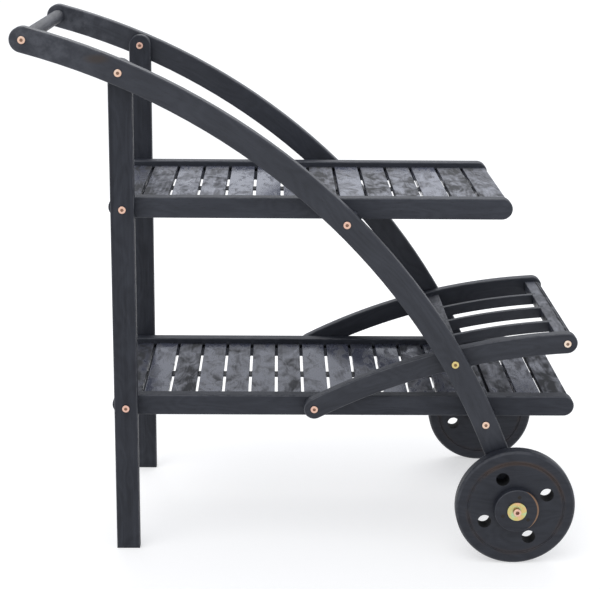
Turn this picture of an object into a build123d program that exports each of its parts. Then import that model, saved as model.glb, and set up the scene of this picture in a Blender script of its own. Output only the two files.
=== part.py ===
from build123d import *
import math
import os

# Serving cart: two slatted trays between two legs and two curved bows, a round
# handle at the back, and a bottle rack and two wooden wheels at the front.
# X runs from the handle to the wheels, Y across the cart and Z up from the floor.
# Every size is in millimetres. Lengths along X are first taken from the legs'
# centre line; the finished parts are moved so that the origin is on the floor
# under the middle of the whole cart.

# ---------------------------------------------------------------- timber sections

BOW_WIDTH = 40.0
BOW_THICK = 24.0
LEG_WIDTH = 38.0
LEG_THICK = 18.0          # the rack arms lie in the same layer as the legs
RAIL_HEIGHT = 34.0
RAIL_THICK = 22.0
SLAT_THICK = 9.0
BATTEN_WIDTH = 22.0
BATTEN_HEIGHT = 3.0       # a strip under the slats, on the stretchers
STRETCHER_WIDTH = 34.0
STRETCHER_HEIGHT = 26.0
HANDLE_RADIUS = 11.0
ARM_WIDTH = 34.0
CROSSBAR_WIDTH = 28.0
CROSSBAR_HEIGHT = 18.0    # the rack slats are as deep, so their tops are level
RACK_SLAT_THICK = 9.0

# ---------------------------------------------------------------- overall sizes

TRAY_WIDTH = 282.0        # clear width between a tray's two rails
HANDLE_BACK = 145.0       # handle axis, behind the legs
HANDLE_HEIGHT = 848.0
AXLE_FRONT = 635.0        # wheel axle, ahead of the legs
BOW_RADIUS = 1114.0       # centre line of the curved bows
RAIL_BACK = 24.0          # rails' rounded ends, behind the legs' centre line
UPPER_RAIL_FRONT = 621.0
LOWER_RAIL_FRONT = 736.0
UPPER_RAIL_TOP = 596.0
LOWER_RAIL_TOP = 264.0
UPPER_SLATS = 14
LOWER_SLATS = 17
SLAT_GAP = 5.0
SLAT_DROP = 9.0           # slat tops below the rails' top edges
SLAT_INSET = 4.5          # first and last slat, from the ends of the rails
RACK_FOOT_FRONT = 307.0   # rack arm's bolt in the lower rail
RACK_END_FRONT = 716.0    # rack arm's bolt in the end crossbar
RACK_END_HEIGHT = 361.0
RACK_RADIUS = 1015.0      # centre line of the rack arms and rack slats
RACK_SLATS = 3

# ---------------------------------------------------------------- wheels

WHEEL_RADIUS = 97.5
WHEEL_THICK = 25.0
WHEEL_EDGE = 6.0          # rounding of the tread's two edges
RING_RADIUS = 78.0        # turned groove on both faces
RING_GROOVE = 1.6
SPOKE_HOLES = 4
SPOKE_HOLE_RADIUS = 11.0
SPOKE_HOLE_CIRCLE = 55.0
SPOKE_HOLE_START = 24.7   # degrees
HUB_RADIUS = 36.0
HUB_THICK = 12.0
HUB_EDGE = 1.2
HUB_SCREWS = 3
HUB_SCREW_CIRCLE = 24.0
HUB_SCREW_START = 82.0    # degrees

# ---------------------------------------------------------------- fasteners

BOLT_RADIUS = 3.0
BOLT_HEAD_RADIUS = 6.0
BOLT_HEAD_HEIGHT = 2.0
BOLT_KEY = 5.0            # across flats of the hexagon socket
BOLT_KEY_DEPTH = 1.4
END_GRAIN_GRIP = 36.0     # bolt length inside the end of a cross member
RAIL_GRIP = 12.0          # bolt length inside a rail
LEG_GRIP = 10.0           # bolt length inside a leg
SLEEVE_RADIUS = 4.5
SLEEVE_LENGTH = 15.0
AXLE_RADIUS = 4.0
AXLE_HEAD_RADIUS = 6.5
AXLE_HEAD_HEIGHT = 5.0
AXLE_KEY = 6.0
AXLE_KEY_DEPTH = 3.0
AXLE_NUT_FLATS = 13.0
AXLE_NUT_HEIGHT = 6.5
WASHER_RADIUS = 15.5
WASHER_THICK = 2.0
SPACER_RADIUS = 12.0      # washer between the bow and the wheel
SPACER_THICK = 3.0
HUB_SCREW_RADIUS = 1.6
HUB_SCREW_HEAD = 3.2
HUB_SCREW_HEAD_DEPTH = 2.0
HUB_SCREW_LENGTH = 22.0

# ---------------------------------------------------------------- fits and roundings

RUNNING_CLEARANCE = 0.06  # axle in the wheels' bores
HOLE_CLEARANCE = 0.1      # fixed bolts and screws in their holes
HOUSING_CLEARANCE = 0.3   # slats and stretchers in their housings
GROOVE_DEPTH = 8.0        # slats' tongues let into the rails
SLAT_SHOULDER = 3.0       # from a slat's top down to its tongues
HOUSING_DEPTH = 6.0       # rack slat ends let into the crossbars
WHEEL_PLAY = 0.2          # wheel's end play on each side
BOW_EDGE = 3.0
LEG_EDGE = 2.5
RAIL_EDGE = 2.5
BAR_EDGE = 2.0
CROSSBAR_NOSE = 8.0       # end crossbar's top front arris, which hands and bottles pass
SLAT_EDGE = 1.2
HEAD_EDGE = 0.7

# ---------------------------------------------------------------- places across the cart

RAIL_IN = TRAY_WIDTH / 2
RAIL_OUT = RAIL_IN + RAIL_THICK
LEG_OUT = RAIL_OUT + LEG_THICK
BOW_OUT = LEG_OUT + BOW_THICK
WHEEL_IN = BOW_OUT + SPACER_THICK + WHEEL_PLAY
WHEEL_OUT = WHEEL_IN + WHEEL_THICK
HUB_OUT = WHEEL_OUT + HUB_THICK
WASHER_SEAT = HUB_OUT + WHEEL_PLAY
TONGUE_THICK = SLAT_THICK - SLAT_SHOULDER
SIDES = {"right": -1, "left": 1}

# ---------------------------------------------------------------- places along the cart


def arc_centre(start, end, radius):
    """Centre of the arc that rises over the chord from start to end."""
    middle = ((start[0] + end[0]) / 2, (start[1] + end[1]) / 2)
    run = (end[0] - start[0], end[1] - start[1])
    chord = math.hypot(*run)
    drop = math.sqrt(radius**2 - (chord / 2) ** 2)
    return (middle[0] + run[1] / chord * drop, middle[1] - run[0] / chord * drop)


def upper_crossing(centre_a, radius_a, centre_b, radius_b):
    """Higher of the two points where two circles cross."""
    run = (centre_b[0] - centre_a[0], centre_b[1] - centre_a[1])
    apart = math.hypot(*run)
    along = (apart**2 + radius_a**2 - radius_b**2) / (2 * apart)
    aside = math.sqrt(radius_a**2 - along**2)
    foot = (centre_a[0] + run[0] / apart * along, centre_a[1] + run[1] / apart * along)
    return (foot[0] - run[1] / apart * aside, foot[1] + run[0] / apart * aside)


def bow_front(height):
    """Distance of the bow's centre line from the legs at a height."""
    return BOW_CENTRE[0] + math.sqrt(BOW_RADIUS**2 - (height - BOW_CENTRE[1]) ** 2)


def arm_angle(point):
    """Angle of a point on the rack arm's centre line, in degrees, about its centre."""
    return math.degrees(math.atan2(point[1] - ARM_CENTRE[1], point[0] - ARM_CENTRE[0]))


HANDLE = (-HANDLE_BACK, HANDLE_HEIGHT)
AXLE = (AXLE_FRONT, WHEEL_RADIUS)
BOW_CENTRE = arc_centre(HANDLE, AXLE, BOW_RADIUS)
LEG_TOP = (0.0, BOW_CENTRE[1] + math.sqrt(BOW_RADIUS**2 - BOW_CENTRE[0] ** 2))


def slat_bottom(rail_top):
    return rail_top - SLAT_DROP - SLAT_THICK


def rail_middle(rail_top):
    return rail_top - RAIL_HEIGHT / 2


def stretcher_place(rail_top):
    """The stretcher lies right under the batten, on the bow's centre line."""
    height = slat_bottom(rail_top) - BATTEN_HEIGHT - STRETCHER_HEIGHT / 2
    return (bow_front(height), height)


UPPER_STRETCHER = stretcher_place(UPPER_RAIL_TOP)
LOWER_STRETCHER = stretcher_place(LOWER_RAIL_TOP)
RACK_FOOT = (RACK_FOOT_FRONT, rail_middle(LOWER_RAIL_TOP))
RACK_END = (RACK_END_FRONT, RACK_END_HEIGHT)
ARM_CENTRE = arc_centre(RACK_FOOT, RACK_END, RACK_RADIUS)
RACK_CROSSING = upper_crossing(BOW_CENTRE, BOW_RADIUS, ARM_CENTRE, RACK_RADIUS)
ORIGIN_FRONT = (LOWER_RAIL_FRONT - HANDLE_BACK - BOW_WIDTH / 2) / 2

# ---------------------------------------------------------------- building blocks

BASE_AT_ORIGIN = (Align.CENTER, Align.CENTER, Align.MIN)
TOP_AT_ORIGIN = (Align.CENTER, Align.CENTER, Align.MAX)


def slab(profile, inner, outer, side):
    """A side view profile (X, Z) made solid between two distances from the middle."""
    top = outer if side > 0 else -inner
    return extrude(Plane.XZ.offset(-top) * profile, amount=outer - inner)


def across(profile, reach):
    """A side view profile made solid right across the cart."""
    return extrude(Plane.XZ * profile, amount=reach, both=True)


def rounded(solid, radius):
    """Round the arrises of the two faces that look along Y."""
    edges = solid.faces().filter_by(Axis.Y).edges()
    return fillet(edges, radius)


def arc_between(centre, radius, start, end):
    """Arc from one point to another, about a centre below it."""
    first = math.degrees(math.atan2(end[1] - centre[1], end[0] - centre[0]))
    last = math.degrees(math.atan2(start[1] - centre[1], start[0] - centre[0]))
    return CenterArc(centre, radius, first, last - first)


def arc_strip(centre, radius, width, first, last):
    """Square-ended strip along an arc between two angles in degrees."""
    outer = CenterArc(centre, radius + width / 2, first, last - first)
    inner = CenterArc(centre, radius - width / 2, first, last - first)
    ends = [Line(outer @ 0, inner @ 0), Line(outer @ 1, inner @ 1)]
    return make_face(outer.edges() + inner.edges() + ends[0].edges() + ends[1].edges())


def socket_head(radius, height, flats, depth, edge):
    """Round bolt head on the XY plane, with a hexagon socket in its top."""
    head = Cylinder(radius, height, align=BASE_AT_ORIGIN)
    head = fillet(head.edges().sort_by(Axis.Z)[-1], edge)
    key = extrude(RegularPolygon(flats / 2, 6, major_radius=False), amount=depth)
    return head - Pos(0, 0, height - depth) * key


def upright(shape, point, distance, side):
    """Turn a shape from +Z to point outwards on one side, with its base at a distance."""
    turn = Rot(90, 0, 0) if side < 0 else Rot(-90, 0, 0)
    return Pos(point[0], side * distance, point[1]) * turn * shape


def bolt(point, seat, length, side):
    """Socket-head bolt whose head stands on a face at distance seat."""
    head = socket_head(BOLT_HEAD_RADIUS, BOLT_HEAD_HEIGHT, BOLT_KEY, BOLT_KEY_DEPTH, HEAD_EDGE)
    shank = Cylinder(BOLT_RADIUS, length, align=TOP_AT_ORIGIN)
    return upright(head + shank, point, seat, side)


def bolt_hole(point, seat, length, side):
    return slab(Pos(*point) * Circle(BOLT_RADIUS + HOLE_CLEARANCE), seat - length, seat, side)


def leg_nut(side):
    """Sleeve nut pushed into the leg from inside, its head on the leg's inner face."""
    head = socket_head(BOLT_HEAD_RADIUS, BOLT_HEAD_HEIGHT, BOLT_KEY, BOLT_KEY_DEPTH, HEAD_EDGE)
    barrel = Cylinder(SLEEVE_RADIUS, SLEEVE_LENGTH, align=TOP_AT_ORIGIN)
    bore = Cylinder(BOLT_RADIUS + HOLE_CLEARANCE, SLEEVE_LENGTH - BOLT_HEAD_HEIGHT, align=BASE_AT_ORIGIN)
    nut = head + barrel - Pos(0, 0, -SLEEVE_LENGTH) * bore
    return upright(nut, LEG_TOP, -RAIL_OUT, -side)


# ---------------------------------------------------------------- bolts

# Each frame bolt: where its axis is, the face under its head and its length.
BOLTS = [
    (HANDLE, BOW_OUT, BOW_THICK + END_GRAIN_GRIP),
    (LEG_TOP, BOW_OUT, BOW_THICK + LEG_GRIP),
    (UPPER_STRETCHER, BOW_OUT, BOW_THICK + END_GRAIN_GRIP),
    (LOWER_STRETCHER, BOW_OUT, BOW_THICK + END_GRAIN_GRIP),
    (RACK_CROSSING, BOW_OUT, BOW_THICK + LEG_THICK + END_GRAIN_GRIP),
    (RACK_END, LEG_OUT, LEG_THICK + END_GRAIN_GRIP),
    (RACK_FOOT, LEG_OUT, LEG_THICK + RAIL_GRIP),
    ((0.0, rail_middle(UPPER_RAIL_TOP)), LEG_OUT, LEG_THICK + RAIL_GRIP),
    ((0.0, rail_middle(LOWER_RAIL_TOP)), LEG_OUT, LEG_THICK + RAIL_GRIP),
]


def drilled(solid, sides=(-1, 1)):
    """Cut the bolt holes that pass through a piece."""
    for side in sides:
        for point, seat, length in BOLTS:
            solid = solid - bolt_hole(point, seat, length, side)
    return solid


# ---------------------------------------------------------------- frame


def make_bow(side):
    outline = SlotArc(arc_between(BOW_CENTRE, BOW_RADIUS, HANDLE, AXLE), BOW_WIDTH)
    bow = rounded(slab(outline, LEG_OUT, BOW_OUT, side), BOW_EDGE)
    axle_hole = slab(Pos(*AXLE) * Circle(AXLE_RADIUS + HOLE_CLEARANCE), LEG_OUT, BOW_OUT, side)
    return drilled(bow - axle_hole, (side,))


def make_leg(side):
    outline = Pos(0, LEG_TOP[1] / 2) * Rectangle(LEG_WIDTH, LEG_TOP[1])
    outline += Pos(*LEG_TOP) * Circle(LEG_WIDTH / 2)
    leg = rounded(slab(outline, RAIL_OUT, LEG_OUT, side), LEG_EDGE)
    sleeve = Pos(*LEG_TOP) * Circle(SLEEVE_RADIUS + HOLE_CLEARANCE)
    leg -= slab(sleeve, RAIL_OUT, RAIL_OUT + SLEEVE_LENGTH, side)
    return drilled(leg, (side,))


def make_handle():
    return drilled(across(Pos(*HANDLE) * Circle(HANDLE_RADIUS), LEG_OUT))


def make_stretcher(place):
    profile = Pos(*place) * RectangleRounded(STRETCHER_WIDTH, STRETCHER_HEIGHT, BAR_EDGE)
    return drilled(across(profile, LEG_OUT))


# ---------------------------------------------------------------- trays


def make_rail(side, front, top, stretcher):
    length = front + RAIL_BACK
    outline = Pos((front - RAIL_BACK) / 2, rail_middle(top)) * SlotOverall(length, RAIL_HEIGHT)
    rail = rounded(slab(outline, RAIL_IN, RAIL_OUT, side), RAIL_EDGE)
    groove_length = length - 2 * (SLAT_INSET - HOUSING_CLEARANCE)
    groove_height = TONGUE_THICK + HOUSING_CLEARANCE
    groove_place = ((front - RAIL_BACK) / 2, slat_bottom(top) + groove_height / 2)
    groove = Pos(*groove_place) * Rectangle(groove_length, groove_height)
    rail -= slab(groove, RAIL_IN, RAIL_IN + GROOVE_DEPTH, side)
    notch = Pos(*stretcher) * Rectangle(STRETCHER_WIDTH + 2 * HOUSING_CLEARANCE, STRETCHER_HEIGHT)
    return drilled(rail - slab(notch, RAIL_IN, RAIL_OUT, side), (side,))


def slat_width(front, count):
    """Width that fills the length between the insets with evenly spaced slats."""
    return (front + RAIL_BACK - 2 * SLAT_INSET - (count - 1) * SLAT_GAP) / count


def slat_centres(front, count):
    width = slat_width(front, count)
    first = -RAIL_BACK + SLAT_INSET + width / 2
    return [first + (width + SLAT_GAP) * index for index in range(count)]


def make_slat(centre, width, top):
    """Slat between the rails' inner faces, with a tongue on each end in the rail's groove."""
    reach = RAIL_IN + GROOVE_DEPTH - HOUSING_CLEARANCE
    board = Box(width, 2 * RAIL_IN, SLAT_THICK, align=BASE_AT_ORIGIN)
    board = fillet(board.edges().filter_by(Axis.Y).group_by(Axis.Z)[-1], SLAT_EDGE)
    tongues = Box(width, 2 * reach, TONGUE_THICK, align=BASE_AT_ORIGIN)
    return Pos(centre, 0, slat_bottom(top)) * (board + tongues)


def make_batten(front, top):
    length = front + RAIL_BACK - 2 * SLAT_INSET
    place = ((front - RAIL_BACK) / 2, 0, slat_bottom(top) - BATTEN_HEIGHT / 2)
    return Pos(*place) * Box(length, BATTEN_WIDTH, BATTEN_HEIGHT)


# ---------------------------------------------------------------- bottle rack


def make_arm(side):
    outline = SlotArc(arc_between(ARM_CENTRE, RACK_RADIUS, RACK_FOOT, RACK_END), ARM_WIDTH)
    return drilled(rounded(slab(outline, RAIL_OUT, LEG_OUT, side), LEG_EDGE), (side,))


def crossbar_half_angle():
    return math.degrees(CROSSBAR_WIDTH / 2 / RACK_RADIUS)


def rack_slat_shape(y, clearance):
    """Rack slat on edge, concentric with the arms, its ends let into both crossbars."""
    housed = math.degrees((HOUSING_DEPTH - HOUSING_CLEARANCE + clearance) / RACK_RADIUS)
    first = arm_angle(RACK_END) + crossbar_half_angle() - housed
    last = arm_angle(RACK_CROSSING) - crossbar_half_angle() + housed
    outline = arc_strip(ARM_CENTRE, RACK_RADIUS, CROSSBAR_HEIGHT + 2 * clearance, first, last)
    thick = RACK_SLAT_THICK + 2 * clearance
    return extrude(Plane.XZ.offset(-y - thick / 2) * outline, amount=thick)


def rack_slat_places():
    pitch = 2 * RAIL_OUT / (RACK_SLATS + 1)
    return [pitch * (index + 1) - RAIL_OUT for index in range(RACK_SLATS)]


def make_rack_slat(y):
    slat = rack_slat_shape(y, 0)
    return fillet(slat.edges().filter_by(GeomType.CIRCLE), SLAT_EDGE)


def corners_from_low_back(section):
    return section.vertices().sort_by(lambda corner: corner.X + corner.Y)


def make_crossbar(point, nose):
    section = Rectangle(CROSSBAR_WIDTH, CROSSBAR_HEIGHT)
    section = fillet(corners_from_low_back(section)[:-1], BAR_EDGE)
    section = fillet(corners_from_low_back(section)[-1], nose)
    profile = Pos(*point) * Rot(0, 0, arm_angle(point) - 90) * section
    crossbar = drilled(across(profile, RAIL_OUT))
    for y in rack_slat_places():
        crossbar -= rack_slat_shape(y, HOUSING_CLEARANCE)
    return crossbar


# ---------------------------------------------------------------- wheels


def ring_of_points(count, circle, start):
    """Evenly spaced points about the axle, as (X, Z)."""
    angles = [math.radians(start + 360 * index / count) for index in range(count)]
    return [(AXLE[0] + circle * math.cos(angle), AXLE[1] + circle * math.sin(angle)) for angle in angles]


def make_wheel(side):
    wheel = rounded(slab(Pos(*AXLE) * Circle(WHEEL_RADIUS), WHEEL_IN, WHEEL_OUT, side), WHEEL_EDGE)
    wheel -= slab(Pos(*AXLE) * Circle(AXLE_RADIUS + RUNNING_CLEARANCE), WHEEL_IN, WHEEL_OUT, side)
    for point in ring_of_points(SPOKE_HOLES, SPOKE_HOLE_CIRCLE, SPOKE_HOLE_START):
        wheel -= slab(Pos(*point) * Circle(SPOKE_HOLE_RADIUS), WHEEL_IN, WHEEL_OUT, side)
    for face in (WHEEL_IN, WHEEL_OUT):
        wheel -= Pos(AXLE[0], side * face, AXLE[1]) * Rot(90, 0, 0) * Torus(RING_RADIUS, RING_GROOVE)
    return screwed(wheel, side)


def make_hub(side):
    hub = slab(Pos(*AXLE) * Circle(HUB_RADIUS), WHEEL_OUT, HUB_OUT, side)
    outer_face = hub.faces().sort_by(Axis.Y)[-1 if side > 0 else 0]
    hub = chamfer(outer_face.edges(), HUB_EDGE)
    hub -= slab(Pos(*AXLE) * Circle(AXLE_RADIUS + RUNNING_CLEARANCE), WHEEL_OUT, HUB_OUT, side)
    return screwed(hub, side)


def hub_screw(point, side, clearance=0.0):
    """Countersunk screw that holds the hub disc on the wheel."""
    shank_radius = HUB_SCREW_RADIUS + clearance
    head_radius = HUB_SCREW_HEAD + clearance
    shank = Cylinder(shank_radius, HUB_SCREW_LENGTH + clearance, align=TOP_AT_ORIGIN)
    head = Cone(shank_radius, head_radius, HUB_SCREW_HEAD_DEPTH, align=TOP_AT_ORIGIN)
    return upright(head + shank, point, HUB_OUT, side)


def hub_screw_places():
    return ring_of_points(HUB_SCREWS, HUB_SCREW_CIRCLE, HUB_SCREW_START)


def screwed(solid, side):
    """Cut the hub screws' holes."""
    for point in hub_screw_places():
        solid = solid - hub_screw(point, side, HOLE_CLEARANCE)
    return solid


def washer(radius, thick, seat, side):
    profile = Pos(*AXLE) * (Circle(radius) - Circle(AXLE_RADIUS + HOLE_CLEARANCE))
    return slab(profile, seat, seat + thick, side)


def axle_bolt(side):
    """Bolt from the outer washer through hub, wheel, spacer and bow to the nut."""
    head = socket_head(AXLE_HEAD_RADIUS, AXLE_HEAD_HEIGHT, AXLE_KEY, AXLE_KEY_DEPTH, HEAD_EDGE)
    seat = WASHER_SEAT + WASHER_THICK
    length = seat - LEG_OUT + AXLE_NUT_HEIGHT
    shank = Cylinder(AXLE_RADIUS, length, align=TOP_AT_ORIGIN)
    return upright(head + shank, AXLE, seat, side)


def axle_nut(side):
    profile = RegularPolygon(AXLE_NUT_FLATS / 2, 6, major_radius=False) - Circle(AXLE_RADIUS + HOLE_CLEARANCE)
    return slab(Pos(*AXLE) * profile, LEG_OUT - AXLE_NUT_HEIGHT, LEG_OUT, side)


# ---------------------------------------------------------------- export


def save(name, *solids):
    """Write one sub-part, moved so that the origin is under the middle of the cart."""
    moved = [Pos(-ORIGIN_FRONT, 0, 0) * solid for solid in solids]
    shape = moved[0] if len(moved) == 1 else Compound(children=moved)
    export_step(shape, "parts/" + name + ".step")


def save_slats(name, front, count, top):
    for index, centre in enumerate(slat_centres(front, count)):
        save(f"{name}_{index + 1:02d}", make_slat(centre, slat_width(front, count), top))


os.makedirs("parts", exist_ok=True)

for name, side in SIDES.items():
    save("bow_" + name, make_bow(side))
    save("leg_" + name, make_leg(side))
    save("upper_rail_" + name, make_rail(side, UPPER_RAIL_FRONT, UPPER_RAIL_TOP, UPPER_STRETCHER))
    save("lower_rail_" + name, make_rail(side, LOWER_RAIL_FRONT, LOWER_RAIL_TOP, LOWER_STRETCHER))
    save("rack_arm_" + name, make_arm(side))
    save("wheel_" + name, make_wheel(side))
    save("hub_" + name, make_hub(side))
    save("hub_screws_" + name, *[hub_screw(point, side) for point in hub_screw_places()])

save("handle_bar", make_handle())
save("tray_stretchers", make_stretcher(UPPER_STRETCHER), make_stretcher(LOWER_STRETCHER))
save("upper_batten", make_batten(UPPER_RAIL_FRONT, UPPER_RAIL_TOP))
save("lower_batten", make_batten(LOWER_RAIL_FRONT, LOWER_RAIL_TOP))
save_slats("upper_slat", UPPER_RAIL_FRONT, UPPER_SLATS, UPPER_RAIL_TOP)
save_slats("lower_slat", LOWER_RAIL_FRONT, LOWER_SLATS, LOWER_RAIL_TOP)

save("rack_crossbar_inner", make_crossbar(RACK_CROSSING, BAR_EDGE))
save("rack_crossbar_end", make_crossbar(RACK_END, CROSSBAR_NOSE))
for index, y in enumerate(rack_slat_places()):
    save(f"rack_slat_{index + 1}", make_rack_slat(y))

save("frame_bolts", *[bolt(*place, side) for side in SIDES.values() for place in BOLTS])
save("frame_nuts", *[nut(side) for side in SIDES.values() for nut in (leg_nut, axle_nut)])
save("axle_bolts", *[axle_bolt(side) for side in SIDES.values()])
outer_washers = [washer(WASHER_RADIUS, WASHER_THICK, WASHER_SEAT, side) for side in SIDES.values()]
spacers = [washer(SPACER_RADIUS, SPACER_THICK, BOW_OUT, side) for side in SIDES.values()]
save("axle_washers", *outer_washers, *spacers)
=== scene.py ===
# %% [markdown]
# # A dark stained bar cart on two wooden wheels
# The joiner's parts come packed from the CAD model, already in place and in metres.
# This lesson lights them, gives every piece its finish and sets up the camera.

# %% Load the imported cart
import math

import bmesh
import bpy
from mathutils import Matrix, Vector


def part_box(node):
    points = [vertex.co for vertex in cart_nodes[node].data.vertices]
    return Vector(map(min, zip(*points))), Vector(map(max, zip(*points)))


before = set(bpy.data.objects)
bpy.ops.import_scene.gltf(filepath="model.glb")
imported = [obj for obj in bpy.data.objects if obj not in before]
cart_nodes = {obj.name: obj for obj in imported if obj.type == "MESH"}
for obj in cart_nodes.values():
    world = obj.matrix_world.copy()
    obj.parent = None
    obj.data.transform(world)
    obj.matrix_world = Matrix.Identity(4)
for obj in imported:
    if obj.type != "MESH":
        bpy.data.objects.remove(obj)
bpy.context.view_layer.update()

# %% [markdown]
# ## The camera
# The cart is seen from its right side, from a little above and just left of its
# middle. A long lens from over two metres keeps the legs and rails nearly square,
# as in a catalogue. A small lens shift, as on a view camera, keeps the uprights
# from leaning; tilting the camera more would make them lean in.

# %% Place the camera
CAMERA_PLACE = Vector((-0.0422, -2.4600, 1.0997))
CAMERA_TURN = 0.0165
CAMERA_TILT = -0.2364
CAMERA_ROLL = 0.0095

camera_data = bpy.data.cameras.new("catalogue_lens")
camera_data.lens = 88.80
camera_data.sensor_width = 36.0
camera_data.shift_y = -0.1100
camera = bpy.data.objects.new("catalogue_camera", camera_data)
bpy.context.scene.collection.objects.link(camera)
level = Matrix.Rotation(math.radians(90) + CAMERA_TILT, 4, "X")
turn = Matrix.Rotation(-CAMERA_TURN, 4, "Z")
roll = Matrix.Rotation(CAMERA_ROLL, 4, "Z")
camera.matrix_world = Matrix.Translation(CAMERA_PLACE) @ turn @ level @ roll
bpy.context.scene.camera = camera
print("camera stands", round(-CAMERA_PLACE.y, 2), "m from the middle of the cart")

# %% [markdown]
# ## Nodes by name
# A material is a small tree of nodes. Adding each node, setting its options and
# joining its sockets takes many lines, so one helper does all three. A socket that
# is given another node's output is joined to it, and any other value is typed in.


# %% Add a node
def add_node(tree, kind, sockets=None, **options):
    node = tree.nodes.new("ShaderNode" + kind)
    for name, value in options.items():
        setattr(node, name, value)
    for name, value in (sockets or {}).items():
        if isinstance(value, bpy.types.NodeSocket):
            tree.links.new(value, node.inputs[name])
        else:
            node.inputs[name].default_value = value
    return node


def maths(tree, operation, *values, clamp=False):
    sockets = dict(enumerate(values))
    return add_node(tree, "Math", sockets, operation=operation, use_clamp=clamp).outputs[0]


def vector_maths(tree, operation, *values, output=0):
    sockets = dict(enumerate(values))
    return add_node(tree, "VectorMath", sockets, operation=operation).outputs[output]


def noise(tree, vector, scale, detail=2.0, roughness=0.5, distortion=0.0):
    sockets = {"Vector": vector, "Scale": scale, "Detail": detail, "Roughness": roughness}
    return add_node(tree, "TexNoise", {**sockets, "Distortion": distortion}).outputs["Fac"]


math_kinds = bpy.types.ShaderNodeMath.bl_rna.properties["operation"].enum_items
print("a math node can do", len(math_kinds), "kinds of sum")

# %% [markdown]
# ## Words for the sums
# The masks below are sums of the same few kinds: how far a place is from another,
# which way a face looks, where a value leaves one range for the next. Each gets a
# name here, so that a finish reads as what it does.


# %% Sums and masks
def between(tree, value, low, high, new_low=0.0, new_high=1.0):
    """Stretch the range low to high of a value to a new range, and hold it there."""
    sockets = {"Value": value, "From Min": low, "From Max": high}
    sockets.update({"To Min": new_low, "To Max": new_high})
    return add_node(tree, "MapRange", sockets, interpolation_type="SMOOTHSTEP").outputs["Result"]


def times(tree, first, second):
    return maths(tree, "MULTIPLY", first, second)


def gap(tree, first, second):
    """How far apart two numbers are."""
    return maths(tree, "ABSOLUTE", maths(tree, "SUBTRACT", first, second))


def mixed(tree, share, first, second):
    """Two colours mixed: all of the first at share 0 and of the second at share 1."""
    return add_node(tree, "Mix", {0: share, 6: first, 7: second}, data_type="RGBA").outputs[2]


def object_place(tree):
    return add_node(tree, "TexCoord").outputs["Object"]


def axis_of(tree, vector, axis):
    return add_node(tree, "SeparateXYZ", {0: vector}).outputs[axis]


def facing(tree, direction):
    """How squarely the surface looks along a direction, from -1 to 1."""
    normal = add_node(tree, "NewGeometry").outputs["Normal"]
    return vector_maths(tree, "DOT_PRODUCT", normal, direction, output="Value")


def distance(tree, vector, place, weights):
    """Distance from a place, with each axis given its own weight."""
    away = vector_maths(tree, "SUBTRACT", vector, place)
    away = vector_maths(tree, "MULTIPLY", away, weights)
    return vector_maths(tree, "LENGTH", away, output="Value")


def grey(value):
    return (value, value, value, 1.0)


ALONG_SIDE = (1.0, 0.0, 1.0)
print("distances seen from the cart's side weigh X, Y and Z by", ALONG_SIDE)

# %% [markdown]
# ## Groups and finishes
# An effect that many materials share is built once as a node group, with named
# sockets for what differs. A finish is a material, and its shader stays in it.


# %% Groups and finishes
def new_group(name, inputs, outputs):
    """An empty node group with named sockets, and its two end nodes."""
    tree = bpy.data.node_groups.new(name, "ShaderNodeTree")
    for socket, (kind, value) in inputs.items():
        made = tree.interface.new_socket(socket, in_out="INPUT", socket_type="NodeSocket" + kind)
        if value is not None:
            made.default_value = value
    for socket, kind in outputs.items():
        tree.interface.new_socket(socket, in_out="OUTPUT", socket_type="NodeSocket" + kind)
    return tree, tree.nodes.new("NodeGroupInput").outputs, tree.nodes.new("NodeGroupOutput").inputs


def use_group(tree, group, sockets):
    return add_node(tree, "Group", sockets, node_tree=group).outputs


def new_finish(name):
    """A material, its tree of nodes and the sockets of its shader."""
    finish = bpy.data.materials.new(name)
    finish.use_nodes = True
    return finish, finish.node_tree, finish.node_tree.nodes["Principled BSDF"].inputs


def join_surface(tree, surface, colour, roughness, height, strength, depth):
    """Join a colour, a roughness and a bumpy height to a shader."""
    tree.links.new(colour, surface["Base Color"])
    tree.links.new(roughness, surface["Roughness"])
    bump = add_node(tree, "Bump", {"Height": height, "Strength": strength, "Distance": depth})
    tree.links.new(bump.outputs["Normal"], surface["Normal"])


def finish_nodes(finish, names):
    """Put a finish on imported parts, over their plain one."""
    for name in names:
        for slot in cart_nodes[name].material_slots:
            slot.material = finish
    print(finish.name, "on", len(names))


def both(*names):
    return [name + side for name in names for side in ("_right", "_left")]


print("a name with two sides becomes", both("wheel"))

# %% [markdown]
# ## Floor
# A catalogue shot stands on a pale seamless floor in a white room. A wide plane
# that fades into a white world has no horizon. The paint glows a little by itself,
# so that it is almost as white as the room and the cart's shadow stays light.

# %% Floor
FLOOR_REACH = 40.0
FLOOR_PAINT = grey(0.56)
FLOOR_GLOW = 0.54

floor_mesh = bpy.data.meshes.new("studio_floor")
floor_shape = bmesh.new()
bmesh.ops.create_grid(floor_shape, x_segments=1, y_segments=1, size=FLOOR_REACH)
floor_shape.to_mesh(floor_mesh)
floor_shape.free()
studio_floor = bpy.data.objects.new("studio_floor", floor_mesh)
bpy.context.scene.collection.objects.link(studio_floor)

floor_finish, _, floor_surface = new_finish("pale_floor_paint")
floor_surface["Base Color"].default_value = FLOOR_PAINT
floor_surface["Roughness"].default_value = 0.9
floor_surface["Specular IOR Level"].default_value = 0.1
floor_surface["Emission Color"].default_value = grey(1.0)
floor_surface["Emission Strength"].default_value = FLOOR_GLOW
floor_mesh.materials.append(floor_finish)
print("floor reaches", FLOOR_REACH, "m each way")

# %% [markdown]
# ## White room
# The room lights the cart softly from all round, with a slightly cool white. The
# satin lacquer shows mostly what it reflects, above all on the trays, which are
# seen at a low angle. So the room is brighter in reflections, and behind the cart,
# than it is as a light: the slats get their sheen and the matt sides stay dark.

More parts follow.
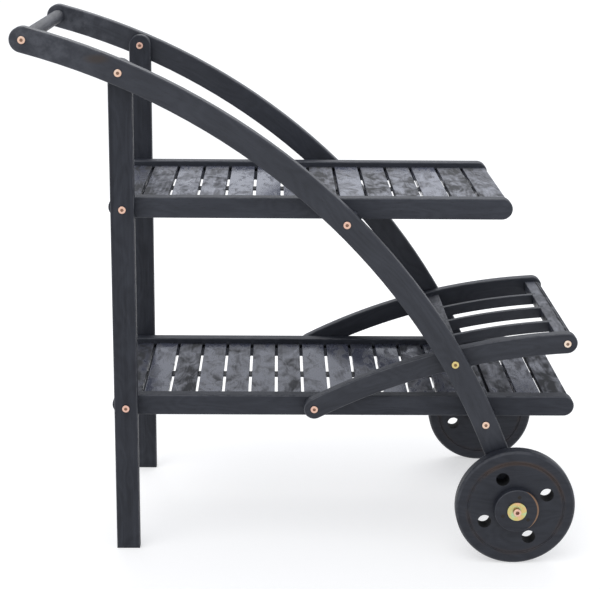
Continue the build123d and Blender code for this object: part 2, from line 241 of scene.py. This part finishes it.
# %% White room
COOL_WHITE = (0.925, 0.955, 1.030, 1.0)
ROOM_GLOW = 0.72
ROOM_WHITE = 1.05

room = bpy.data.worlds.new("white_room")
room.use_nodes = True
bpy.context.scene.world = room
room_tree = room.node_tree
room_light = room_tree.nodes["Background"].inputs
room_rays = add_node(room_tree, "LightPath").outputs
room_colour = mixed(room_tree, room_rays["Is Camera Ray"], COOL_WHITE, grey(1.0))
room_tree.links.new(room_colour, room_light["Color"])
seen = maths(room_tree, "MAXIMUM", room_rays["Is Camera Ray"], room_rays["Is Glossy Ray"])
room_strength = between(room_tree, seen, 0.0, 1.0, ROOM_GLOW, ROOM_WHITE)
room_tree.links.new(room_strength, room_light["Strength"])
print("room glows", ROOM_GLOW, "as a light and", ROOM_WHITE, "in reflections")

# %% [markdown]
# ## Skylight and soft box
# The room alone would leave the dark timber flat, so a broad skylight from above
# the camera's left shoulder gives it shape, and a soft box behind the cart draws
# the lit arrises along the tops of the rails and bows. A sun lamp with a very wide
# angle is that skylight: unlike a soft box, it lights the floor as brightly far
# away as near.

# %% Skylight and soft box
DAYLIGHT = (1.0, 0.99, 0.97)
BOX_PLACE = Vector((0.3, 1.9, 2.4))
BOX_TARGET = Vector((0.0, 0.0, 0.5))
BOX_SIZE = (3.0, 1.2)
SKYLIGHT_WAY = Vector((0.35, 0.55, -1.0))


def hang_lamp(lamp, place, way):
    """Hang a lamp at a place, shining along a way."""
    lamp.color = DAYLIGHT
    hung = bpy.data.objects.new(lamp.name, lamp)
    aim = way.to_track_quat("-Z", "Y")
    hung.matrix_world = Matrix.Translation(place) @ aim.to_matrix().to_4x4()
    bpy.context.scene.collection.objects.link(hung)
    print(lamp.name, "shines with", lamp.energy)


back_box = bpy.data.lights.new("back_box", "AREA")
back_box.shape = "RECTANGLE"
back_box.size, back_box.size_y = BOX_SIZE
back_box.energy = 30
hang_lamp(back_box, BOX_PLACE, BOX_TARGET - BOX_PLACE)

skylight = bpy.data.lights.new("skylight", "SUN")
skylight.energy = 1.0
skylight.angle = math.radians(50)
hang_lamp(skylight, Vector(), SKYLIGHT_WAY)

bpy.context.scene.view_settings.view_transform = "Standard"

# %% [markdown]
# ## Which way the grain runs
# Timber is cut so that its grain follows the length of the piece. Here the grain
# pattern always runs along X, and each material first turns its coordinates: legs
# stand, rails lie along the cart, slats and bars lie across it. The bows and the
# rack arms are laminated round a former, so their grain bends with them. For those,
# the place along an arc and the distance from its centre take the place of X and Z.

# %% Grain along an arc
bent, bent_in, bent_out = new_group(
    "Grain along an arc",
    {
        "Vector": ("Vector", None),
        "Centre X": ("Float", 0.0),
        "Centre Z": ("Float", 0.0),
        "Radius": ("Float", 1.0),
    },
    {"Vector": "Vector"},
)
place = add_node(bent, "SeparateXYZ", {0: bent_in["Vector"]}).outputs
run = maths(bent, "SUBTRACT", place["X"], bent_in["Centre X"])
rise = maths(bent, "SUBTRACT", place["Z"], bent_in["Centre Z"])
along = times(bent, maths(bent, "ARCTAN2", run, rise), bent_in["Radius"])
spread = add_node(bent, "CombineXYZ", {"X": run, "Y": rise}).outputs[0]
reach = vector_maths(bent, "LENGTH", spread, output="Value")
unrolled = add_node(bent, "CombineXYZ", {"X": along, "Y": place["Y"], "Z": reach}).outputs[0]
bent.links.new(unrolled, bent_out["Vector"])
print("arc group:", len(bent.nodes), "nodes")

# %% Turn the grain
BOW_ARC = {"Centre X": -0.7156, "Centre Z": -0.2289, "Radius": 1.114}
ARM_ARC = {"Centre X": 0.4925, "Centre Z": -0.6521, "Radius": 1.015}
ARCS = {"bow": BOW_ARC, "arm": ARM_ARC}
TURNS = {"along X": "XYZ", "across Y": "YXZ", "upright Z": "ZYX"}


def grain_vector(tree, direction):
    """Object coordinates turned or bent so that the grain runs along their X."""
    vector = object_place(tree)
    if direction in ARCS:
        return use_group(tree, bent, {"Vector": vector, **ARCS[direction]})["Vector"]
    axes = add_node(tree, "SeparateXYZ", {0: vector}).outputs
    turned = {index: axes[axis] for index, axis in enumerate(TURNS[direction])}
    return add_node(tree, "CombineXYZ", turned).outputs[0]


print("grain runs", ", ".join([*TURNS, *ARCS]))

# %% [markdown]
# ## Stained timber
# The wood is a plain hardwood under a charcoal stain. Up close the stain is uneven:
# it sinks into soft bands and leaves cloudy patches, fine fibres catch the light,
# small pores stay dark, and flat-sawn faces show the wavy figure of the year rings.
# Pictures of wood would show a seam or a repeat, so the finish is built from layers
# of noise, each stretched along the grain by its own amount. The figure is the sine
# of a slow noise, which draws contour lines round it. The darker a patch is, the
# rougher it is too. Several materials share all this, so it is a node group.

# %% Layers of the timber
timber, timber_in, timber_out = new_group(
    "Stained timber",
    {
        "Vector": ("Vector", None),
        "Dark stain": ("Color", grey(0.02)),
        "Light stain": ("Color", grey(0.05)),
        "Bands": ("Float", 0.5),
        "Clouds": ("Float", 0.5),
        "Cloud size": ("Float", 20.0),
        "Figure": ("Float", 0.1),
        "Tone": ("Float", 0.0),
        "Satin": ("Float", 0.5),
        "Satin spread": ("Float", 0.1),
    },
    {"Color": "Color", "Roughness": "Float", "Height": "Float"},
)
BAND_STRETCH = (4.0, 80.0, 80.0)
FIBRE_STRETCH = (30.0, 900.0, 900.0)
PORE_STRETCH = (110.0, 1500.0, 1500.0)
CLOUD_STRETCH = (0.7, 1.4, 1.4)
RING_STRETCH = (7.0, 24.0, 24.0)
RING_COUNT = 75.0
PORE_SIZE = (0.60, 0.70)


def layer(stretch, scale=1.0, **settings):
    """A noise stretched along the grain."""
    stretched = vector_maths(timber, "MULTIPLY", timber_in["Vector"], stretch)
    return noise(timber, stretched, scale, **settings)


bands = layer(BAND_STRETCH, detail=4.0, roughness=0.6, distortion=0.6)
fibres = layer(FIBRE_STRETCH, roughness=0.6)
pores = between(timber, layer(PORE_STRETCH), *PORE_SIZE)
clouds = layer(CLOUD_STRETCH, timber_in["Cloud size"], detail=3.5, roughness=0.55, distortion=0.6)
rings = layer(RING_STRETCH, detail=1.5, roughness=0.45, distortion=0.3)
rings = maths(timber, "SINE", times(timber, rings, RING_COUNT))
print("stained timber layers:", len(timber.nodes), "nodes")

# %% Sum of the layers
FIBRE_SHARE = 0.30
PORE_SHARE = 0.45
PORE_BLACK = grey(0.006)
BAND_RELIEF = 0.8
PORE_RELIEF = 0.7


def swing(value, share):
    """How far a value lies from its middle, times its share."""
    return times(timber, maths(timber, "SUBTRACT", value, 0.5), share)


shade = maths(timber, "ADD", timber_in["Tone"], 0.5)
for part in (
    swing(bands, timber_in["Bands"]),
    swing(clouds, timber_in["Clouds"]),
    swing(fibres, FIBRE_SHARE),
    times(timber, rings, timber_in["Figure"]),
):
    shade = maths(timber, "ADD", shade, part)
shade = maths(timber, "MINIMUM", maths(timber, "MAXIMUM", shade, 0.0), 1.0)
stained = mixed(timber, shade, timber_in["Dark stain"], timber_in["Light stain"])
pored = mixed(timber, times(timber, pores, PORE_SHARE), stained, PORE_BLACK)
timber.links.new(pored, timber_out["Color"])
dulled = times(timber, maths(timber, "SUBTRACT", 0.5, shade), timber_in["Satin spread"])
dulled = maths(timber, "ADD", timber_in["Satin"], dulled, clamp=True)
timber.links.new(dulled, timber_out["Roughness"])
relief = maths(timber, "ADD", fibres, times(timber, bands, BAND_RELIEF))
relief = maths(timber, "SUBTRACT", relief, times(timber, pores, PORE_RELIEF))
timber.links.new(relief, timber_out["Height"])
print("stained timber group:", len(timber.nodes), "nodes")

# %% [markdown]
# ## Worn arrises
# Stain rubs thin where two faces meet, so a pale broken line runs along every
# arris. The arrises are rounded in the parts themselves, and on a rounding the
# surface faces neither along the flat side nor square to it. Comparing the normal
# with the direction of the flat side finds it; a noise then breaks the line up.

# %% Worn arris group
LINE_WIDTH = (0.15, 0.75)
WORN_PATCHES = (0.36, 0.60)
LEAST_WORN = 0.25

worn, worn_in, worn_out = new_group(
    "Worn arris",
    {
        "Vector": ("Vector", None),
        "Flat side": ("Vector", (0.0, 1.0, 0.0)),
        "Patch size": ("Float", 60.0),
    },
    {"Mask": "Float"},
)
squarely = facing(worn, worn_in["Flat side"])
squared = times(worn, squarely, squarely)
rounding = times(worn, times(worn, squared, maths(worn, "SUBTRACT", 1.0, squared)), 4.0)
patchy = noise(worn, worn_in["Vector"], worn_in["Patch size"], detail=4.0, roughness=0.6)
patchy = between(worn, patchy, *WORN_PATCHES, LEAST_WORN, 1.0)
worn.links.new(times(worn, between(worn, rounding, *LINE_WIDTH), patchy), worn_out["Mask"])
print("worn arris group:", len(worn.nodes), "nodes")

# %% [markdown]
# ## Timber finishes
# The same stained timber serves the whole frame. Every finish names the way its
# grain runs and how cloudy the stain is, and the worn arris mask lets a paler
# colour through. The satin lacquer is the shader's own roughness, and how strongly
# it reflects is its specular level.

# %% Make a timber finish
STAIN_DARK = (0.0095, 0.0110, 0.0165, 1.0)
STAIN_LIGHT = (0.0300, 0.0335, 0.0440, 1.0)
RUBBED = (0.1150, 0.1180, 0.1300, 1.0)
SIDE = (0.0, 1.0, 0.0)
TOP = (0.0, 0.0, 1.0)


def show_wear(tree, vector, flat_side, colour, wear):
    """Let the rubbed stain show along the arrises of a colour."""
    mask = use_group(tree, worn, {"Vector": vector, "Flat side": flat_side})["Mask"]
    return mixed(tree, times(tree, mask, wear), colour, RUBBED)


def timber_finish(name, direction, flat_side=SIDE, wear=0.45, gloss=0.42, **changes):
    """A stained timber; changes go straight to the timber group's sockets."""
    finish, tree, surface = new_finish(name)
    vector = grain_vector(tree, direction)
    sockets = {"Vector": vector, "Dark stain": STAIN_DARK, "Light stain": STAIN_LIGHT}
    sockets.update({"Bands": 0.7, "Clouds": 0.8, "Satin": 0.52, **changes})
    look = use_group(tree, timber, sockets)
    colour = show_wear(tree, vector, flat_side, look["Color"], wear)
    dull, height = look["Roughness"], look["Height"]
    join_surface(tree, surface, colour, dull, height, strength=0.35, depth=0.0004)
    surface["Specular IOR Level"].default_value = gloss
    return finish


print("stain runs from", STAIN_DARK[:3], "to", STAIN_LIGHT[:3])

# %% [markdown]
# ## Bows, legs, rails and rack arms
# The long pieces are plain and straight-grained. The legs are a little darker and
# more banded than the bows, and the rails duller, the upper ones paler than the
# lower. The rack slats stand on edge, and their top arrises are the most worn.

# %% Finish the frame
bow_timber = timber_finish("bow_timber", "bow", wear=0.17)
leg_timber = timber_finish("leg_timber", "upright Z", gloss=0.30, Bands=1.4, Tone=-0.16)
upper_rail_timber = timber_finish("upper_rail_timber", "along X", gloss=0.36, Satin=0.62, Tone=0.22)
lower_rail_timber = timber_finish("lower_rail_timber", "along X", gloss=0.34, Satin=0.62, Tone=0.05)
rack_arm_timber = timber_finish("rack_arm_timber", "arm", gloss=0.38, Tone=-0.08)
rack_slat_timber = timber_finish("rack_slat_timber", "arm", wear=0.6)
batten_timber = timber_finish("batten_timber", "along X", TOP)

finish_nodes(bow_timber, both("bow"))
finish_nodes(leg_timber, both("leg"))
finish_nodes(upper_rail_timber, both("upper_rail"))
finish_nodes(lower_rail_timber, both("lower_rail"))
finish_nodes(rack_arm_timber, both("rack_arm"))
finish_nodes(rack_slat_timber, ["rack_slat_1", "rack_slat_2", "rack_slat_3"])
finish_nodes(batten_timber, ["upper_batten", "lower_batten"])

# %% [markdown]
# ## Handle, crossbars and stretchers
# The pieces that lie across the cart turn a broad face up to the light, and their
# stain is cloudier. The handle is the plainest, since hands have evened it out.
# The inner crossbar and the tray stretchers sit under the trays and inside the rack,
# and their darker tone is painted shade. The end crossbar is the palest.

# %% Finish the bars
BAR_LIGHT = (0.070, 0.075, 0.098, 1.0)
BAR_LOOK = {"Light stain": BAR_LIGHT, "Clouds": 2.3, "Cloud size": 30.0, "Satin spread": 0.40}

LIT_BAR_LOOK = {"Satin": 0.46, "Tone": -0.05, **BAR_LOOK}
# Painted shade: a darker tone for the bars that sit in the shade of the trays.
SHADED_BAR_LOOK = {"Satin": 0.50, "Tone": -0.22, **BAR_LOOK}

bar_timber = timber_finish("bar_timber", "across Y", TOP, wear=0.3, **LIT_BAR_LOOK)
shaded_bar_timber = timber_finish("shaded_bar_timber", "across Y", TOP, wear=0.3, **SHADED_BAR_LOOK)
handle_timber = timber_finish("handle_timber", "across Y", TOP, wear=0.0, Satin=0.56, Clouds=1.5)

finish_nodes(bar_timber, ["rack_crossbar_end"])
finish_nodes(shaded_bar_timber, ["rack_crossbar_inner", "tray_stretchers"])
finish_nodes(handle_timber, ["handle_bar"])

# %% [markdown]
# ## Where hands hold the bows
# The bows' ends are handled more than the rest. The stain there is rubbed paler,
# and its paler, cloudy patches are also a painted sheen, standing in for the light
# the lacquer catches there. Between the handle and the leg one bow has a small brown
# smear where the wood shows through. Both are laid over the finished bow timber, as
# soft spots around a place on the cart; noise breaks up the larger one.

# %% Hand wear and painted sheen
HANDLE_END = (-0.4305, 0.0, 0.8480)
HAND_REACH = (0.03, 0.16)
HAND_PATCHES = (0.38, 0.66)
HAND_WEAR_AND_SHEEN = (0.0560, 0.0600, 0.0720, 1.0)
SMEAR = (-0.3173, -0.2050, 0.8200)
SMEAR_SHAPE = (0.6, 1.0, 1.6)
SMEAR_REACH = (0.004, 0.016)
SMEAR_SHARE = 0.75
BROWN_SMEAR = (0.0300, 0.0200, 0.0150, 1.0)


def lay_over(finish, colour, share):
    """Mix one more colour over what a finish already has."""
    tree = finish.node_tree
    under = tree.nodes["Principled BSDF"].inputs["Base Color"]
    tree.links.new(mixed(tree, share, under.links[0].from_socket, colour), under)


bow_tree = bow_timber.node_tree
bow_place = object_place(bow_tree)
from_end = distance(bow_tree, bow_place, HANDLE_END, ALONG_SIDE)
handled = between(bow_tree, from_end, *HAND_REACH, 1.0, 0.0)
patches = noise(bow_tree, bow_place, scale=38.0, detail=5.0, roughness=0.65)
# The paler patches at the handle end are worn stain and painted sheen together.
lay_over(bow_timber, HAND_WEAR_AND_SHEEN, times(bow_tree, handled, between(bow_tree, patches, *HAND_PATCHES)))
from_smear = distance(bow_tree, bow_place, SMEAR, SMEAR_SHAPE)
lay_over(bow_timber, BROWN_SMEAR, between(bow_tree, from_smear, *SMEAR_REACH, SMEAR_SHARE, 0.0))
print("hand wear reaches", HAND_REACH[1], "m from the handle")

# %% [markdown]
# ## Painted shade lines on the end crossbar
# Two long dark lines are painted along the end crossbar's top, nearly straight and
# broken in places: painted shade where the top's shading changes at its rounded
# edge. Their distance from a line across the cart, pushed a little to and fro by
# noise, draws them. Each line is made rough as well as dark.

# %% Painted shade lines
SHADE_LINE_SHARES = (0.66, 0.80)
SHADE_LINE_WAVER = 0.0012
SHADE_LINE_WIDTH = (0.0008, 0.0020)
SHADE_LINE_BREAKS = (0.34, 0.50, 0.25, 0.85)
SHADE_LINE_BLACK = grey(0.006)
SHADE_LINE_DULL = 0.6

bar_low, bar_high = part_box("rack_crossbar_end")
bar_tree = bar_timber.node_tree
bar_place = object_place(bar_tree)
waver = noise(bar_tree, bar_place, scale=14.0, detail=3.0)
waver = between(bar_tree, waver, 0.3, 0.7, -SHADE_LINE_WAVER, SHADE_LINE_WAVER)
bar_x = maths(bar_tree, "ADD", axis_of(bar_tree, bar_place, "X"), waver)
unbroken = between(bar_tree, noise(bar_tree, bar_place, scale=30.0), *SHADE_LINE_BREAKS)
bar_roughness = bar_tree.nodes["Principled BSDF"].inputs["Roughness"]
for share in SHADE_LINE_SHARES:
    off_line = gap(bar_tree, bar_x, bar_low[0] + share * (bar_high[0] - bar_low[0]))
    shade_line = times(bar_tree, between(bar_tree, off_line, *SHADE_LINE_WIDTH, 1.0, 0.0), unbroken)
    # Painted shade: a dark line laid over the crossbar's colour.
    lay_over(bar_timber, SHADE_LINE_BLACK, shade_line)
    before = bar_roughness.links[0].from_socket
    dull = maths(bar_tree, "ADD", before, times(bar_tree, shade_line, SHADE_LINE_DULL), clamp=True)
    bar_tree.links.new(dull, bar_roughness)
# The printed width is the crossbar's, across which the painted shade lines lie.
print("shakes across", round(bar_high[0] - bar_low[0], 4), "m of crossbar")

# %% [markdown]
# ## Tray slats
# No two slats come from the same board: some are pale and smooth, some dark and
# smudged, and a few show the swirl of a knot. The slats lie at an even pitch, so
# rounding down the distance from the first slat gives each its number, and a white
# noise of that number is the slat's own tone and its own cut from the timber. Their
# pale patches are smoother than their dark ones, so they shine at a low angle.

# %% Each slat its own board
SLAT_START = -0.3075
BOARD_APART = (5.0, 5.0, 5.0)
KNOT_SIZE = 16.0
KNOTTY_BOARDS = (0.62, 0.66)
SWIRL = (0.006, 0.055)
TONES = (-0.25, 0.50)


def own_board(tree, vector, pitch, tray):
    """Where each slat was cut from the timber, and how pale its board is."""
    from_first = maths(tree, "SUBTRACT", axis_of(tree, vector, "Y"), SLAT_START)
    number = maths(tree, "FLOOR", maths(tree, "DIVIDE", from_first, pitch))
    seed = {"W": maths(tree, "ADD", number, tray)}
    board = add_node(tree, "TexWhiteNoise", seed, noise_dimensions="1D").outputs
    cut = vector_maths(tree, "MULTIPLY", board["Color"], BOARD_APART)
    cut = vector_maths(tree, "ADD", vector, cut)
    swirl = add_node(tree, "TexNoise", {"Vector": cut, "Scale": KNOT_SIZE, "Detail": 2.0})
    strength = between(tree, board["Value"], *KNOTTY_BOARDS, *SWIRL)
    push = {0: swirl.outputs["Color"], "Scale": strength}
    pushed = add_node(tree, "VectorMath", push, operation="SCALE").outputs[0]
    pick = add_node(tree, "SeparateColor", {0: board["Color"]}).outputs["Green"]
    return vector_maths(tree, "ADD", cut, pushed), between(tree, pick, 0.0, 1.0, *TONES)


print("tones of the boards run from", TONES[0], "to", TONES[1])

# %% Slat finish
UPPER_PITCH = 0.045786
LOWER_PITCH = 0.044471
UPPER_SEED = 11.0
LOWER_SEED = 47.0
SLAT_DARK = (0.0060, 0.0070, 0.0100, 1.0)
UPPER_LIGHT = (0.1050, 0.1120, 0.1480, 1.0)
# Painted shade: the lower tray's light stain is darker, for the shade under the upper tray.
LOWER_LIGHT_IN_SHADE = (0.0640, 0.0690, 0.0960, 1.0)
SLAT_LOOK = {
    "Dark stain": SLAT_DARK, "Bands": 1.0, "Clouds": 2.6, "Cloud size": 34.0, "Figure": 0.10,
    "Satin": 0.46, "Satin spread": 0.60,
}


def slat_finish(name, pitch, seed, light_stain, gloss):
    finish, tree, surface = new_finish(name)
    vector = grain_vector(tree, "across Y")
    cut, tone = own_board(tree, vector, pitch, seed)
    own = {"Vector": cut, "Tone": tone, "Light stain": light_stain}
    look = use_group(tree, timber, {**own, **SLAT_LOOK})
    colour = show_wear(tree, vector, TOP, look["Color"], wear=0.35)
    dull, height = look["Roughness"], look["Height"]
    join_surface(tree, surface, colour, dull, height, strength=0.14, depth=0.0003)
    surface["Specular IOR Level"].default_value = gloss
    return finish


def named(start):
    return [name for name in cart_nodes if name.startswith(start)]


upper_timber = slat_finish("upper_slat_timber", UPPER_PITCH, UPPER_SEED, UPPER_LIGHT, gloss=0.5)
# The lower slats get the darker light stain, painted shade under the upper tray.
lower_timber = slat_finish("lower_slat_timber", LOWER_PITCH, LOWER_SEED, LOWER_LIGHT_IN_SHADE, gloss=0.36)
finish_nodes(upper_timber, named("upper_slat"))
finish_nodes(lower_timber, named("lower_slat"))

# %% [markdown]
# ## Wheels
# The wheels are turned from thick boards and stained like the frame. The turned
# ring near the rim is worn to brown, most of all at the top. The walls of the four
# bored holes are painted near black and dull: painted shade inside the holes. The
# hub disc shows a crescent of bare wood on its front edge where the stain has
# rubbed off. All follow the distance from the axle, the place on the wheel or the
# way a face looks. At rest they are where they belong, and they turn with the wheel.

# %% Marks on the wheel
AXLE_X = 0.3495
AXLE_Z = 0.0975
RING_RADIUS = 0.078
RING_WEAR = (0.0006, 0.0060, 0.45, 0.0)
RING_PATCHES = (0.34, 0.60)
RING_SHOWS = (0.06, AXLE_Z + RING_RADIUS, 0.35, 1.0)
BORE_WALL = (0.1, 0.5, 0.85, 0.0)
INSIDE_RING = (0.070, 0.074, 1.0, 0.0)
BROWN = (0.0850, 0.0480, 0.0270, 1.0)
BORE_SHADE_BLACK = grey(0.003)


def mark_wheel(tree, vector, spoke, colour, roughness):
    """A brown ring, and painted shade: dark, dull walls in the bored holes."""
    radius = vector_maths(tree, "LENGTH", spoke, output="Value")
    ring = between(tree, gap(tree, radius, RING_RADIUS), *RING_WEAR)
    shows = between(tree, axis_of(tree, vector, "Z"), *RING_SHOWS)
    patchy = noise(tree, vector, scale=22.0, detail=3.0, roughness=0.6)
    patchy = between(tree, patchy, *RING_PATCHES)
    colour = mixed(tree, times(tree, ring, times(tree, shows, patchy)), colour, BROWN)
    wall = maths(tree, "ABSOLUTE", facing(tree, SIDE))
    # Painted shade: near black, dull walls inside the bored holes.
    bored = times(tree, between(tree, wall, *BORE_WALL), between(tree, radius, *INSIDE_RING))
    return mixed(tree, bored, colour, BORE_SHADE_BLACK), maths(tree, "MAXIMUM", roughness, bored)


print("ring worn at", RING_RADIUS, "m from the axle")

# %% Mark on the hub
HUB_RADIUS = 0.036
HUB_FACE = 0.2452
FRONT = (1.0, 0.05, 0.0)
CRESCENT_REACH = (0.30, 1.0, 0.0, 0.0032)
CRESCENT_EDGE = (HUB_RADIUS, HUB_RADIUS + 0.0008)
NEAR_FACE = (HUB_FACE - 0.0035, HUB_FACE - 0.0015)
BARE_WOOD = (0.2100, 0.1200, 0.0680, 1.0)


def mark_hub(tree, vector, spoke, colour):
    """A crescent of bare wood on the front of the outer edge."""
    radius = vector_maths(tree, "LENGTH", spoke, output="Value")
    way = vector_maths(tree, "NORMALIZE", spoke)
    front = vector_maths(tree, "DOT_PRODUCT", way, FRONT, output="Value")
    widened = maths(tree, "ADD", radius, between(tree, front, *CRESCENT_REACH))
    aside = maths(tree, "ABSOLUTE", axis_of(tree, vector, "Y"))
    bare = times(tree, between(tree, widened, *CRESCENT_EDGE), between(tree, aside, *NEAR_FACE))
    return mixed(tree, bare, colour, BARE_WOOD)


print("crescent on the hub's edge, at", HUB_RADIUS, "m from the axle")

# %% Wheel finish
WHEEL_LOOK = {
    "Dark stain": STAIN_DARK, "Light stain": STAIN_LIGHT, "Bands": 0.5, "Clouds": 0.7,
    "Cloud size": 26.0, "Tone": -0.20, "Satin": 0.48, "Satin spread": 0.10,
}


def wheel_finish(name, part):
    finish, tree, surface = new_finish(name)
    vector = grain_vector(tree, "along X")
    look = use_group(tree, timber, {"Vector": vector, **WHEEL_LOOK})
    colour = show_wear(tree, vector, SIDE, look["Color"], wear=0.25)
    roughness = look["Roughness"]
    forward = maths(tree, "SUBTRACT", axis_of(tree, vector, "X"), AXLE_X)
    upward = maths(tree, "SUBTRACT", axis_of(tree, vector, "Z"), AXLE_Z)
    spoke = add_node(tree, "CombineXYZ", {"X": forward, "Y": upward}).outputs[0]
    if part == "wheel":
        colour, roughness = mark_wheel(tree, vector, spoke, colour, roughness)
    else:
        colour = mark_hub(tree, vector, spoke, colour)
    join_surface(tree, surface, colour, roughness, look["Height"], strength=0.25, depth=0.0003)
    surface["Specular IOR Level"].default_value = 0.32
    return finish


finish_nodes(wheel_finish("wheel_timber", "wheel"), both("wheel"))
finish_nodes(wheel_finish("hub_timber", "hub"), both("hub"))

# %% [markdown]
# ## Fasteners
# Bolts, nuts and washers are yellow zinc plated. The plating is a thin film, so its
# colour drifts from gold to copper, pink and green over a few millimetres. A slow
# noise picks the colour from a ramp, and a finer one varies how polished it is. The
# bolt that joins the bow and the rack arm is from another batch, and all gold. Dark
# red-brown sits in the key sockets, low in each head, and inside the legs' nuts:
# grime, and painted shade in these recesses.

# %% Plating colours
COPPER = (0.72, 0.43, 0.36, 1.0)
PEACH = (0.76, 0.51, 0.38, 1.0)
AMBER = (0.74, 0.43, 0.28, 1.0)
GOLD = (0.62, 0.50, 0.19, 1.0)
CREAM = (0.82, 0.68, 0.55, 1.0)
PALE_GREEN = (0.44, 0.60, 0.34, 1.0)
RAMP_START = 0.32
RAMP_SPAN = 0.36
KEY_GRIME_AND_SHADE = (0.14, 0.07, 0.04, 1.0)
BOW_AND_ARM = (0.2465, 0.0, 0.3326)
ONE_BOLT = (0.010, 0.030, 0.9, 0.0)


def plating(tree, vector, drift, colours):
    """A colour that drifts through some platings, and is gold on one bolt."""
    drifting = noise(tree, vector, drift, distortion=0.6)
    ramp = add_node(tree, "ValToRGB", {"Fac": drifting})
    stops = ramp.color_ramp.elements
    while len(stops) < len(colours):
        stops.new(0.5)
    for index, (stop, colour) in enumerate(zip(stops, colours)):
        stop.position = RAMP_START + RAMP_SPAN * index / (len(colours) - 1)
        stop.color = colour
    golden = between(tree, distance(tree, vector, BOW_AND_ARM, ALONG_SIDE), *ONE_BOLT)
    return mixed(tree, golden, ramp.outputs["Color"], GOLD)


print("one golden bolt, at X", BOW_AND_ARM[0], "and Z", BOW_AND_ARM[2])

# %% Grime and painted shade in the sockets
GRIME_AND_SHADE_SHARE = 0.85
GRIME_AND_SHADE_DEPTH = (0.55, 0.85)
NUT_FACE = (0.1617, 0.1622, 0.0, GRIME_AND_SHADE_SHARE)
NUT_END = (0.168, 0.172, 1.0, 0.0)


def grime_and_shade_in(tree, vector, seat, spacing, lip):
    """Grime and painted shade below the lip of each head, seated at even spacings, and in the nuts.
    """
    aside = maths(tree, "ABSOLUTE", axis_of(tree, vector, "Y"))
    height = maths(tree, "FLOORED_MODULO", maths(tree, "SUBTRACT", aside, seat), spacing)
    full, clean = (lip * share for share in GRIME_AND_SHADE_DEPTH)
    socket = between(tree, height, full, clean, GRIME_AND_SHADE_SHARE, 0.0)
    nut = times(tree, between(tree, aside, *NUT_FACE), between(tree, aside, *NUT_END))
    return maths(tree, "MAXIMUM", socket, nut)


print("grime covers", GRIME_AND_SHADE_SHARE, "of the plating in a socket")

# %% Yellow zinc
ARM_SEAT = 0.181
BOARD_THICK = 0.024
HEAD_LIP = 0.002
HUB_WASHER_TOP = HUB_FACE + 0.002
AXLE_HEAD_LIP = 0.005
SCUFFS = (0.3, 0.7, 0.26, 0.44)


def zinc_finish(name, drift, colours, seat, spacing, lip):
    finish, tree, surface = new_finish(name)
    vector = object_place(tree)
    plated = plating(tree, vector, drift, colours)
    # Grime and painted shade in the sockets, low on the heads and in the nuts.
    colour = mixed(tree, grime_and_shade_in(tree, vector, seat, spacing, lip), plated, KEY_GRIME_AND_SHADE)
    scuffed = between(tree, noise(tree, vector, scale=900.0, detail=3.0), *SCUFFS)
    pitted = noise(tree, vector, scale=1400.0)
    join_surface(tree, surface, colour, scuffed, pitted, strength=0.15, depth=0.0002)
    surface["Metallic"].default_value = 1.0
    return finish


FRAME_HEADS = {"seat": ARM_SEAT, "spacing": BOARD_THICK, "lip": HEAD_LIP}
AXLE_HEADS = {"seat": HUB_WASHER_TOP, "spacing": 1.0, "lip": AXLE_HEAD_LIP}
NO_HEADS = {"seat": 0.0, "spacing": 1.0, "lip": 0.0}

frame_zinc = zinc_finish("zinc_frame_bolts", 9.0, (COPPER, PEACH, CREAM), **FRAME_HEADS)
washer_zinc = zinc_finish("zinc_washers", 90.0, (PALE_GREEN, GOLD, AMBER), **NO_HEADS)
axle_zinc = zinc_finish("zinc_axle_bolts", 80.0, (COPPER, PEACH), **AXLE_HEADS)
finish_nodes(frame_zinc, ["frame_bolts", "frame_nuts"])
finish_nodes(washer_zinc, ["axle_washers"])
finish_nodes(axle_zinc, ["axle_bolts"])

# %% [markdown]
# ## Black screws
# Three small black screws hold each hub disc on its wheel. Their coating has a
# brownish tarnish that is also duller than the clean metal.

# %% Black screws
CLEAN_BLACK = grey(0.01)
TARNISH = (0.035, 0.028, 0.024, 1.0)
TARNISH_DULLS = (0.3, 0.7, 0.35, 0.6)

black_screws, screw_tree, screw_surface = new_finish("black_screws")
tarnish = noise(screw_tree, object_place(screw_tree), scale=700.0, detail=3.0)
screw_tree.links.new(mixed(screw_tree, tarnish, CLEAN_BLACK, TARNISH), screw_surface["Base Color"])
screw_tree.links.new(between(screw_tree, tarnish, *TARNISH_DULLS), screw_surface["Roughness"])
screw_surface["Metallic"].default_value = 0.6
finish_nodes(black_screws, both("hub_screws"))
